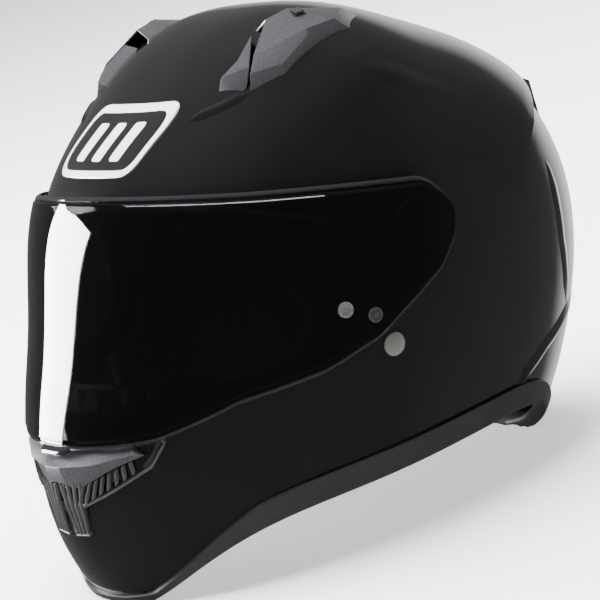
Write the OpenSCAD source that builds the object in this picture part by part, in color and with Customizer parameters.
// Full-face motorcycle helmet.
// +Z is up, the face looks along -Y, the rider's left side is +X.
// The helmet stands on the chin and the nape, on the plane z = 0.

/* [Shell] */
// Half of the shell's width
half_width = 125; // [118:1:132]
// Distance behind the origin of the point that the side profile is drawn around
centre_y = 15; // [12:1:18]
// Height of the point that the side profile is drawn around
centre_z = 130; // [128:1:132]
// Thickness of the moulded shell wall
wall = 4; // [3.5:0.1:4.5]
// Height of the arch of the lower rim at the rider's shoulders
rim_arch = 34; // [30:1:36]
// Height of the spoiler lip at the back of the crown
lip_height = 5; // [3:0.5:7]

/* [Visor] */
// Distance of the visor's hinge axis behind the origin
hinge_y = 8; // [6:1:10]
// Height of the visor's hinge axis
hinge_z = 160; // [158:1:162]
// Gap between the shell and the inside of the visor
visor_gap = 4.5; // [4.5:0.1:5]
// Thickness of the visor's polycarbonate
visor_thick = 2.2; // [1.8:0.1:2.4]
// Radius of the boss that the visor turns on
boss_r = 6; // [5:0.5:6.5]
// Running clearance of the boss in its ring, on the radius
boss_fit = 0.05; // [0.03:0.01:0.1]

/* [Padding] */
// Thickness of the foam energy liner at the temples
liner_thick = 35; // [32:1:36]
// Thickness of the comfort liner
comfort_thick = 8; // [6:1:9]
// Radius of a cheek pad snap
snap_r = 5; // [4:0.5:6]

/* [Straps] */
// Width of the chin strap webbing
strap_w = 25; // [22:1:26]
// Thickness of the webbing
strap_thick = 2; // [1.6:0.1:2.2]
// Radius of the wire of a D-ring
ring_wire_r = 1.9; // [1.5:0.1:2]
// Radius of the domed head of a strap rivet
rivet_r = 6.2; // [5.5:0.1:7]

/* [Hidden] */

// Side profile: distance from the centre every 30 degrees, from the brow over the crown to the chin
side_radii = [152, 140, 137, 146, 139, 149, 156, 157, 168, 181, 213, 204];
// Squareness of the cross-section at the brow, the crown, the back and the base
side_powers = [2.2, 2.9, 2.4, 2.0];
// Grid of the curved surfaces
phi_steps = 36;
lam_steps = 18;
// Lower rim: middle of the arch, and how far it reaches to the chin and to the nape
rim_mid = -12;
rim_front = 136;
rim_back = 121;
// Height of the neck trim's band above the rim
trim_band = 15;
trim_out = 2;
// Head space: middle, and half sizes of the hollow in the energy liner
head_y = 26;
head_z = 135;
head_half = [half_width - wall - liner_thick + 1, 108, 106];
// Plane of the visor's hub against the inside of the visor
hub_x = half_width + 4.2;
// Offsets of the strap, its anchor and the cheek plate behind the shell's face
strap_off = -7.6;
plate_off = -11;
plate_thick = 2;
// Lean of the chin's face at the vent, in degrees
chin_lean = 18;
// Strap rivet and the middle of the strap
rivet_y = -20;
rivet_z = 102;
// Middle of the release lever, and its size
lever_y = -11;
lever_z = 156;
lever_w = 8;
lever_h = 26;
// Screws of the side plates, as places in the side view
screw_places = [[18.4, 168.2], [0, 143]];
// Fog pins on the visor
pin_y = -43;
pin_z = 129;
pin_shaft_r = 2.5;
pin_hole_r = 2.7;
// D-ring bars
ring_x = [58, 50.5];
ring_z = 48;
ring_reach = 22;

// ---------- the helmet's surface ----------

function cyclic(v, i) = v[(i % len(v) + len(v)) % len(v)];

// Smooth closed curve through the values of v, spread evenly over a turn
function blend(v, a) =
  let (x = a / 360 * len(v), i = floor(x), t = x - i)
  let (p = cyclic(v, i - 1), q = cyclic(v, i), r = cyclic(v, i + 1), s = cyclic(v, i + 2))
  (2 * q + (r - p) * t + (2 * p - 5 * q + 4 * r - s) * t * t
    + (3 * q - p - 3 * r + s) * t * t * t) / 2;

// Radius at phi, the angle from the brow up over the crown, and lam, the angle to the side
function skin_r(phi, lam) =
  let (n = blend(side_powers, phi))
  pow(pow(abs(cos(lam)) / blend(side_radii, phi), n) + pow(abs(sin(lam)) / half_width, n), -1 / n);

function skin_point(phi, lam, off) =
  let (r = skin_r(phi, lam) + off)
  [r * sin(lam), centre_y - r * cos(lam) * cos(phi), centre_z + r * cos(lam) * sin(phi)];

// Half width of the shell at a place of the side view
function side_x(y, z) =
  let (a = atan2(z - centre_z, centre_y - y), rho = norm([y - centre_y, z - centre_z]))
  let (n = blend(side_powers, a))
  half_width * pow(1 - pow(rho / blend(side_radii, a), n), 1 / n);

// Outward normal of the shell at a place of the side view
function side_normal(y, z) =
  let (dy = side_x(y + 1, z) - side_x(y - 1, z), dz = side_x(y, z + 1) - side_x(y, z - 1))
  let (v = [1, -dy / 2, -dz / 2])
  v / norm(v);

// Height of the lower rim
function rim_z(y) =
  let (u = y < rim_mid ? (rim_mid - y) / rim_front : (y - rim_mid) / rim_back)
  let (p = y < rim_mid ? 5 : 7)
  rim_arch * max(0, 1 - pow(u, p));

// Closed solid whose face lies off outside the shell's face, plus an optional swelling
module skin(off = 0, swell = function (phi, lam) 0) {
  row = phi_steps;
  points = concat(
    [skin_point(0, -90, off)],
    [for (j = [1:lam_steps - 1], i = [0:row - 1])
      let (phi = 360 * i / row, lam = 180 * j / lam_steps - 90)
      skin_point(phi, lam, off + swell(phi, lam))],
    [skin_point(0, 90, off)]
  );
  last = len(points) - 1;
  ends = [for (i = [0:row - 1]) each [
    [0, 1 + (i + 1) % row, 1 + i],
    [last, last - row + i, last - row + (i + 1) % row]]];
  sides = [for (j = [0:lam_steps - 3], i = [0:row - 1])
    let (a = 1 + j * row + i, b = 1 + j * row + (i + 1) % row)
    each [[a, b, b + row], [a, b + row, a + row]]];
  polyhedron(points, concat(ends, sides));
}

// Wall between two offsets from the shell's face
module skin_wall(outer, inner) difference() {
  skin(outer);
  skin(inner);
}

// Keeps a free-form solid as one mesh
module as_mesh() resize([0, 0, 0]) children();

// Extrudes a side-view outline, drawn as (y, z), from x0 to x1
module across(x0 = -200, x1 = 200)
  rotate([90, 0, 90]) translate([0, 0, x0]) linear_extrude(x1 - x0) children();

// Extrudes a front-view outline, drawn as (x, z), forwards from y = 0
module forwards(depth = 260) rotate([90, 0, 0]) linear_extrude(depth) children();

// Rounds the corners of an outline
module rounded(r) offset(r = r, $fn = 24) offset(delta = -r) children();

// Places children on the shell: X to the back, Y up, Z outwards
module on_side(y, z, off = 0) {
  n = side_normal(y, z);
  up = [0, 0, 1] - n * n.z;
  v = up / norm(up);
  u = cross(v, n);
  p = [side_x(y, z), y, z] + n * off;
  multmatrix([[u.x, v.x, n.x, p.x], [u.y, v.y, n.y, p.y], [u.z, v.z, n.z, p.z]]) children();
}

// Puts a rider's-left part on the rider's right
module to_right() mirror([1, 0, 0]) children();

// Flat-faced block through places of the form [phi, lam, off]
module facets(places) hull() for (p = places)
  translate(skin_point(p[0], p[1], p[2])) cube(0.4, center = true);

// ---------- outlines in the side view ----------

module below_rim(lift = 0, band = 0) across() polygon(concat(
  [[260, -200], [-260, -200]],
  [for (y = [-260, each [-160:12:104], rim_mid + rim_back, 120, 132, 260])
    [y, rim_z(y) + lift + band * min(1, 0.3 + 0.7 * max(0, y + 155) / 50)]]
));

module eyeport(grow = 0) across() offset(delta = grow) rounded(8) polygon([
  [-260, 100], [-150, 100], [-105, 106], [-60, 109], [-35, 120],
  [-35, 170], [-80, 191], [-112, 200], [-260, 206]
]);

module visor_outline(grow = 0) offset(delta = grow) rounded(14) polygon([
  [-260, 84], [-140, 90], [-104, 100], [-62, 102.5], [-30, 110], [16, 132],
  [33, 150], [20, 178], [-67, 198], [-112, 209], [-260, 212]
]);

module plate_outline(grow = 0) hull() {
  translate([hinge_y, hinge_z]) circle(r = 16 + grow, $fn = 48);
  translate([-13, 172]) circle(r = 7 + grow, $fn = 32);
  translate([-12, 134]) circle(r = 7 + grow, $fn = 32);
}

module cheek_outline() rounded(6) polygon([
  [-62, 47], [-64, 98], [-36, 104], [-30, 124], [32, 118], [46, 62], [36, 47]
]);

// ---------- shell and its trims ----------

module hood() intersection() {
  skin(0, function (phi, lam) lip_height * pow(max(0, min(1, (phi - 110) / 42)), 2)
    * max(0, min(1, (64 - abs(lam)) / 22)));
  across() polygon([[40, 150], [78, 154], [109, 178], [124, 188], [137, 199], [170, 222],
    [170, 300], [40, 300]]);
}

module outer_shell() color([0.03, 0.03, 0.035]) as_mesh() difference() {
  union() {
    skin(0);
    hood();
  }
  skin(-wall);
  below_rim(lift = 3);
  eyeport();
  // recesses and holes of the visor's side plates
  for (side = [0, 1]) mirror([side, 0, 0]) {
    difference() {
      across(x0 = 60) plate_outline(grow = 0.6);
      skin(-2);
    }
    on_side(rivet_y, rivet_z) cylinder(h = 30, r = 2.7, center = true, $fn = 24);
    for (s = screw_places) on_side(s[0], s[1]) cylinder(h = 14, r = 1.8, center = true, $fn = 16);
  }
  // air holes under the top, chin and rear vents
  for (side = [-1, 1]) {
    hull() for (phi = [70, 78]) translate(skin_point(phi, side * 28, 0)) sphere(r = 5, $fn = 12);
    hull() for (x = [5, 9]) translate([side * x, -158, 80]) sphere(r = 3.5, $fn = 12);
    hull() for (x = [14, 40]) translate([side * x, 152, 178]) sphere(r = 7, $fn = 12);
  }
}

module neck_trim() color([0.13, 0.13, 0.14]) as_mesh() difference() {
  intersection() {
    skin_wall(trim_out, -wall - 2);
    below_rim(band = trim_band);
  }
  below_rim();
  difference() {
    skin_wall(0, -wall);
    below_rim(lift = 3);
  }
}

module eyeport_gasket() color([0.06, 0.06, 0.065]) as_mesh() difference() {
  intersection() {
    skin_wall(visor_gap - 0.4, -wall - 0.9);
    eyeport(grow = 4.5);
  }
  eyeport(grow = -2.5);
  difference() {
    skin_wall(0, -wall);
    eyeport();
  }
}

module front_badge() color([0.85, 0.86, 0.88]) as_mesh() intersection() {
  skin_wall(0.9, 0);
  forwards() translate([0, 229]) offset(r = 9, $fn = 24)
    polygon([[-42, -7], [34, -7], [42, 7], [-34, 7]]);
  translate([-100, -160, 180]) cube([200, 140, 90]);
}

module rear_vent_cover() color([0.05, 0.05, 0.055]) as_mesh() difference() {
  union() for (side = [-1, 1]) {
    facets([[151.5, 0, 5], [154, 0, 11], [166, 0, 1], [152, side * 24, 4], [155, side * 24, 8],
      [166, side * 22, 1],
      [150, 0, 0.4], [152, side * 24, 0.4]]);
  }
  skin(0.2);
  hood();
  for (side = [-1, 1]) hull() for (lam = [5, 18])
    translate(skin_point(162, side * lam, 3)) rotate([30, 0, 0]) cube([4, 30, 3], center = true);
}

module rear_vent_mesh() color([0.1, 0.1, 0.1]) as_mesh() for (side = [-1, 1]) intersection() {
  skin_wall(-wall, -wall - 1);
  translate([side * 27, 150, 178]) cube([46, 60, 20], center = true);
}

// ---------- top vents ----------

module top_vent_left() color([0.42, 0.43, 0.45]) as_mesh() difference() {
  union() {
    // deflector lip in front of the intake
    facets([[60, 25, 0.3], [61, 29, 0.3], [66, 33, 0.3], [72, 30, 0.3], [74, 24, 0.3],
      [64, 27, 4], [70, 29, 5]]);
    // roof behind the intake
    facets([[70, 31, 0.3], [70, 34, 0.3], [75, 38, 0.3], [87, 37, 0.3], [101, 30, 0.3], [101, 26, 0.3],
      [83, 20, 0.3], [76, 24, 0.3], [72, 31, 4.5], [82, 23, 7.5], [88, 29, 7.5], [96, 28, 4]]);
  }
  skin(0.2);
  // intake slot and the slider's track
  facets([[69, 33, 1], [73, 30, 1], [82, 22, 1], [68, 32, 5], [71, 29, 6], [79, 22, 7], [76, 26, 2.5]]);
  on_vent() translate([0, 0, 4]) cube([6.4, 20, 8], center = true);
}

// Frame of the slider's track: Y runs to the back along the vent, Z points outwards
module on_vent() translate(skin_point(88, 27, 3)) rotate([2, 24, 0]) children();

module top_vent_slider_left() color([0.08, 0.08, 0.085]) on_vent() {
  translate([-3, -5.5, 0.4]) cube([6, 7, 3.4]);
  translate([-2.4, -4.6, 3.8]) cube([4.8, 5.2, 1.6]);
}

// ---------- chin vent ----------

module cover_faces() for (side = [-1, 1])
  facets([[-14.2, 0, 0.4], [-14.2, side * 18, 0.4], [-17, side * 22, 0.4], [-20.6, 0, 0.4],
    [-14.4, 0, 7], [-14.4, side * 17, 6], [-16.8, side * 21, 3], [-17, side * 3, 10],
    [-17, 0, 10], [-20.2, side * 2, 5.5]]);

module chin_vent_cover() color([0.42, 0.43, 0.45]) as_mesh() difference() {
  cover_faces();
  skin(0.2);
}

module chin_vent_grille() color([0.2, 0.2, 0.21]) as_mesh() difference() {
  union() {
    for (side = [-1, 1]) facets([[-16.6, 0, 1], [-16.2, side * 20, 0.8], [-19, side * 20, 1],
      [-23, side * 5, 1],
      [-19, side * 3, 6.5], [-18, side * 17, 3.4]]);
    facets([[-18.6, -4, 6], [-18.6, 4, 6], [-19, -5, 1], [-19, 5, 1], [-27, -3.2, 2], [-27, 3.2, 2],
      [-27, 0, 0.8]]);
  }
  skin(0.2);
  cover_faces();
  // slots, each a little shorter towards the end of the vent
  for (side = [-1, 1], k = [0:6])
    translate(skin_point(-19.3 + 0.26 * k, side * (6.6 + 1.75 * k), 2))
      rotate([0, side * -8, 0]) cube([2.2, 40, 9 - k * 0.55], center = true);
  for (k = [-1:1]) translate([k * 5, -171, 56]) rotate([-6, 0, 0]) cube([1.6, 6, 26], center = true);
}

// Frame on the centre line of the chin, behind the vent: Y points in, Z runs up the chin
module on_chin() translate(skin_point(-16.2, 0, 0)) rotate([-chin_lean, 0, 0]) children();

module chin_vent_slider() color([0.08, 0.08, 0.085]) on_chin() {
  translate([-13, 7, -8]) cube([26, 1.3, 14]);
  translate([-4, 8.2, -3]) cube([8, 19.8, 5]);
}

module chin_vent_filter() color([0.1, 0.1, 0.1]) on_chin() translate([-12, 6.2, -7]) cube([24, 0.6, 14]);

// ---------- visor and its mechanism ----------

module visor() color([0.12, 0.14, 0.14, 0.75]) as_mesh() difference() {
  union() {
    intersection() {
      skin_wall(visor_gap + visor_thick, visor_gap);
      across() visor_outline();
    }
    // lifting tab at the lower edge
    intersection() {
      skin_wall(visor_gap + visor_thick + 4, visor_gap + 0.4);
      translate([-13, -200, 86.6]) cube([26, 80, 3.4]);
    }
  }
  for (side = [0, 1]) mirror([side, 0, 0]) {
    on_hinge() cylinder(h = hub_x, r = 9.2, $fn = 48);
    on_side(pin_y, pin_z) cylinder(h = 40, r = pin_hole_r, center = true, $fn = 24);
  }
}

module visor_hub_left() color([0.1, 0.1, 0.1]) on_hinge() {
  translate([0, 0, hub_x - 2]) cylinder(h = 2, r = 9, $fn = 48);
  translate([0, 0, hub_x - 6]) cylinder(h = 4.5, r = boss_r, $fn = 48);
}

module on_hinge() translate([0, hinge_y, hinge_z]) rotate([0, 90, 0]) children();

module ratchet_ring_left() color([0.2, 0.2, 0.2]) on_hinge() difference() {
  translate([0, 0, hub_x - 6]) cylinder(h = 3.8, r = 10, $fn = 64);
  translate([0, 0, hub_x - 8]) cylinder(h = 8, r = boss_r + boss_fit, $fn = 64);
}

module base_plate_left() color([0.09, 0.09, 0.095]) as_mesh() difference() {
  union() {
    intersection() {
      skin_wall(0.4, -2);
      across(x0 = 60) plate_outline();
    }
    on_side(lever_y, lever_z - 28) translate([0, 0, 1.4]) cube([lever_w, 3, 3], center = true);
  }
  on_hinge() cylinder(h = 150, r = 10.1, $fn = 64);
  for (s = screw_places) on_side(s[0], s[1]) cylinder(h = 14, r = 1.8, center = true, $fn = 16);
}

module release_lever_left() color([0.16, 0.16, 0.17]) on_side(lever_y, lever_z) {
  translate([-lever_w / 2, -lever_h / 2, 1.2]) cube([lever_w, lever_h, 2]);
  translate([-lever_w / 2 - 5, -lever_h / 2, 1.2]) cube([6, 5, 2]);
}

module lever_spring_left() color([0.7, 0.7, 0.7]) on_side(lever_y, lever_z)
  translate([0, 0, 2.2]) rotate([90, 0, 0]) difference() {
    translate([0, 0, lever_h / 2]) cylinder(h = 13.3, r = 0.9, $fn = 24);
    translate([0, 0, lever_h / 2 - 1]) cylinder(h = 16, r = 0.5, $fn = 24);
  }

module base_screws() color([0.5, 0.5, 0.5]) for (side = [0, 1]) mirror([side, 0, 0])
  for (s = screw_places) on_side(s[0], s[1]) {
    translate([0, 0, -5]) cylinder(h = 5.6, r = 1.7, $fn = 24);
    translate([0, 0, 0.5]) cylinder(h = 1.2, r = 2.6, $fn = 32);
  }

module pinlock_pin_left() color([0.8, 0.8, 0.82]) on_side(pin_y, pin_z) {
  translate([0, 0, visor_gap - 2.5]) cylinder(h = 1.3, r = 4.2, $fn = 32);
  translate([0, 0, visor_gap - 1.3]) cylinder(h = visor_thick + 1.9, r = pin_shaft_r, $fn = 32);
  translate([0, 0, visor_gap + visor_thick + 0.3]) cylinder(h = 1.4, r = 4.2, $fn = 32);
}

module visor_latch() color([0.1, 0.1, 0.1]) as_mesh() intersection() {
  skin_wall(visor_gap - 1, 0.2);
  translate([-8, -200, 90]) cube([16, 80, 5]);
}

// ---------- energy liners and padding ----------

module head_space(gap = 0) translate([0, head_y, head_z]) {
  scale([head_half.x - gap, head_half.y - gap, head_half.z - gap]) sphere(r = 1, $fn = 40);
  translate([0, 0, -200]) linear_extrude(200)
    scale([head_half.x - gap, head_half.y - gap]) circle(r = 1, $fn = 40);
}

module eps_liner() color([0.12, 0.12, 0.12]) as_mesh() difference() {
  intersection() {
    skin(-wall - 1);
    across() polygon([
      [-200, 206], [-116, 206], [-86, 196], [-50, 180], [-29, 168], [-28, 128], [38, 122], [54, 62],
      [62, 54], [220, 54], [220, 300], [-200, 300]
    ]);
  }
  head_space();
  for (side = [-1, 1]) hull() {
    translate(skin_point(74, side * 28, 4)) sphere(r = 5, $fn = 12);
    translate(skin_point(76, side * 24, -50)) sphere(r = 4, $fn = 12);
  }
}

module chin_eps() color([0.12, 0.12, 0.12]) as_mesh() difference() {
  intersection() {
    skin_wall(-wall - 2.5, -24);
    across() polygon([[-200, 91.5], [-104, 91.5], [-70, 96], [-68, 50], [-200, 20]]);
  }
  below_rim(lift = 16);
  on_chin() translate([-14, 0, -10]) cube([28, 10, 26]);
  on_chin() translate([-5, 0, -8]) cube([10, 40, 18]);
}

module breath_guard() color([0.05, 0.05, 0.05]) as_mesh() difference() {
  intersection() {
    skin_wall(-11, -12.6);
    across() polygon([[-200, 92], [-108, 92], [-96, 101], [-104, 112], [-200, 120]]);
  }
  for (k = [-3:3]) forwards() translate([k * 17, 100]) polygon([[-5.5, 12], [5.5, 12], [0, 0]]);
}

module brow_plate() color([0.07, 0.07, 0.07]) as_mesh() intersection() {
  skin_wall(-wall - 3, -26);
  across() polygon([[-116, 206], [-86, 196], [-60, 184.4], [-60, 181.4], [-86, 193], [-118, 203.5]]);
}

module crown_liner() color([0.08, 0.08, 0.085]) as_mesh() difference() {
  intersection() {
    head_space();
    across() polygon([
      [-100, 200], [-50, 180], [-28, 168], [-26, 130], [40, 124], [57, 64], [170, 64],
      [170, 260], [-100, 260]
    ]);
  }
  head_space(gap = comfort_thick);
  at_liner_snaps() cylinder(h = 12, r = snap_r + 0.1, $fn = 32);
}

module neck_roll() color([0.08, 0.08, 0.085]) as_mesh() difference() {
  intersection() {
    skin_wall(-wall - 2.5, -30);
    across() polygon([[50, 38], [52, 52], [180, 52], [180, 10], [90, 10]]);
  }
  below_rim(lift = 7);
}

module at_liner_snaps() for (x = [-40, 0, 40])
  translate([x, head_y + sqrt(1 - pow(x / head_half.x, 2)) * head_half.y - 4.8, 84])
    rotate([-90, 0, -0.8 * x]) children();

module liner_snaps() color([0.6, 0.6, 0.62]) at_liner_snaps() cylinder(h = 3, r = snap_r, $fn = 32);

// Room that the strap, its sleeve and the D-rings leave in the cheek pad and its plate
module strap_room() translate([0, rivet_y, 0]) rotate([90, 0, 0])
  linear_extrude(strap_w + 10, center = true)
    polygon([[40, 20], [40, 60], [80, 63], [92, 74], [125, 84], [125, 20]]);

module cheek_plate_left() color([0.75, 0.75, 0.75]) as_mesh() difference() {
  intersection() {
    skin_wall(plate_off, plate_off - plate_thick);
    across(x0 = 40) cheek_outline();
  }
  strap_room();
}

module cheek_pad_left() color([0.08, 0.08, 0.085]) as_mesh() difference() {
  intersection() {
    skin(plate_off - plate_thick);
    across(x0 = 58) cheek_outline();
  }
  translate([0, 22, 0]) linear_extrude(300) scale([72, 98]) circle(r = 1, $fn = 48);
  strap_room();
}

snap_places = [[-50, 76], [22, 100], [14, 62]];

module cheek_snaps() color([0.6, 0.6, 0.62]) for (side = [0, 1]) mirror([side, 0, 0])
  for (s = snap_places) on_side(s[0], s[1], -wall - 0.4)
    mirror([0, 0, 1]) cylinder(h = -plate_off - wall - 2.2, r = snap_r, $fn = 32);

// ---------- straps ----------

module strap_rivet_left() color([0.8, 0.78, 0.75]) on_side(rivet_y, rivet_z) {
  intersection() {
    translate([0, 0, -rivet_r * 0.6]) sphere(r = rivet_r * 1.166, $fn = 48);
    cylinder(h = 10, r = rivet_r, $fn = 48);
  }
  translate([0, 0, -wall - 1.5]) cylinder(h = wall + 1.6, r = 2.5, $fn = 32);
}

module strap_anchor_left() color([0.6, 0.6, 0.62]) on_side(rivet_y, rivet_z, -wall - 1.5) {
  difference() {
    translate([-9, -9, -0.8]) cube([18, 18, 1.6]);
    cylinder(h = 9, r = 2.55, center = true, $fn = 32);
  }
}

function strap_line() = concat(
  [for (z = [110:-11:66]) [side_x(rivet_y, z) + strap_off - 0.4, z]],
  [[94, 56.5], [82, 53], [70, 51.5]]
);

// Web of the strap along a list of (x, z) places, strap_w wide in Y
module web(line) {
  n = len(line);
  dirs = [for (i = [0:n - 1]) let (d = line[min(n - 1, i + 1)] - line[max(0, i - 1)]) d / norm(d)];
  edge = function (side) [for (i = [0:n - 1]) line[i] + side * strap_thick / 2 * [-dirs[i].y, dirs[i].x]];
  inner = edge(1);
  outer = edge(-1);
  translate([0, rivet_y + strap_w / 2, 0]) rotate([90, 0, 0]) linear_extrude(strap_w)
    polygon(concat(inner, [for (i = [n - 1:-1:0]) outer[i]]));
}

module along_strap() translate([0, rivet_y, 0]) rotate([90, 0, 0]) children();

module chin_strap_left() color([0.05, 0.05, 0.05]) {
  difference() {
    union() {
      web(concat(strap_line(), [[62, 51], [52, 51]]));
      for (x = ring_x) along_strap() translate([x, ring_z, 0])
        cylinder(h = strap_w, r = ring_wire_r + 1.7, center = true, $fn = 48);
    }
    for (x = ring_x) along_strap() translate([x, ring_z, 0])
      cylinder(h = strap_w + 2, r = ring_wire_r + 0.06, center = true, $fn = 48);
  }
}

module chin_strap_right() color([0.05, 0.05, 0.05])
  to_right() web(concat(strap_line(), [[58, 48], [40, 44], [20, 41.5], [0, 40.5], [-22, 40.5]]));

module sleeve(x0, x1, z0, z1) along_strap() linear_extrude(strap_w + 5, center = true) hull() {
  translate([x0, z0]) circle(r = 4, $fn = 24);
  translate([x1, z1]) circle(r = 4, $fn = 24);
}

module strap_pad_left() color([0.08, 0.08, 0.085]) difference() {
  sleeve(70, 84, 51.6, 53.6);
  web(concat(strap_line(), [[62, 51]]));
}

module strap_pad_right() color([0.08, 0.08, 0.085]) to_right() difference() {
  sleeve(42, 76, 44.6, 52);
  web(concat(strap_line(), [[58, 48], [40, 44], [20, 41.5]]));
}

module strap_snap() color([0.75, 0.75, 0.77])
  translate([14, rivet_y, 37.5]) cylinder(h = 2, r = 5.5, $fn = 32);

// D-ring: straight bar along Y through the strap's loop, the bow hanging down
module d_ring() {
  half = strap_w / 2 + 2.4;
  leg = ring_reach - half;
  rotate([90, 0, 0]) cylinder(h = 2 * half, r = ring_wire_r, center = true, $fn = 32);
  for (side = [-1, 1]) translate([0, side * half, 0]) {
    mirror([0, 0, 1]) cylinder(h = leg, r = ring_wire_r, $fn = 32);
    sphere(r = ring_wire_r, $fn = 32);
  }
  translate([0, 0, -leg]) rotate([0, 90, 0]) rotate([0, 0, -90]) rotate_extrude(angle = 180, $fn = 64)
    translate([half, 0]) circle(r = ring_wire_r, $fn = 32);
}

module d_ring_inner() color([0.75, 0.75, 0.77]) translate([ring_x[0], rivet_y, ring_z]) d_ring();

module d_ring_outer() color([0.75, 0.75, 0.77]) translate([ring_x[1], rivet_y, ring_z]) d_ring();

// ---------- the rider's right side ----------

module top_vent_right() to_right() top_vent_left();
module top_vent_slider_right() to_right() top_vent_slider_left();
module visor_hub_right() to_right() visor_hub_left();
module ratchet_ring_right() to_right() ratchet_ring_left();
module base_plate_right() to_right() base_plate_left();
module release_lever_right() to_right() release_lever_left();
module lever_spring_right() to_right() lever_spring_left();
module pinlock_pin_right() to_right() pinlock_pin_left();
module cheek_plate_right() to_right() cheek_plate_left();
module cheek_pad_right() to_right() cheek_pad_left();
module strap_rivet_right() to_right() strap_rivet_left();
module strap_anchor_right() to_right() strap_anchor_left();

outer_shell();
neck_trim();
eyeport_gasket();
front_badge();
rear_vent_cover();
rear_vent_mesh();
top_vent_left();
top_vent_right();
top_vent_slider_left();
top_vent_slider_right();
chin_vent_cover();
chin_vent_grille();
chin_vent_slider();
chin_vent_filter();
visor();
visor_hub_left();
visor_hub_right();
visor_latch();
pinlock_pin_left();
pinlock_pin_right();
base_plate_left();
base_plate_right();
ratchet_ring_left();
ratchet_ring_right();
release_lever_left();
release_lever_right();
lever_spring_left();
lever_spring_right();
base_screws();
eps_liner();
chin_eps();
breath_guard();
brow_plate();
crown_liner();
neck_roll();
liner_snaps();
cheek_pad_left();
cheek_pad_right();
cheek_plate_left();
cheek_plate_right();
cheek_snaps();
strap_rivet_left();
strap_rivet_right();
strap_anchor_left();
strap_anchor_right();
chin_strap_left();
chin_strap_right();
strap_pad_left();
strap_pad_right();
strap_snap();
d_ring_inner();
d_ring_outer();
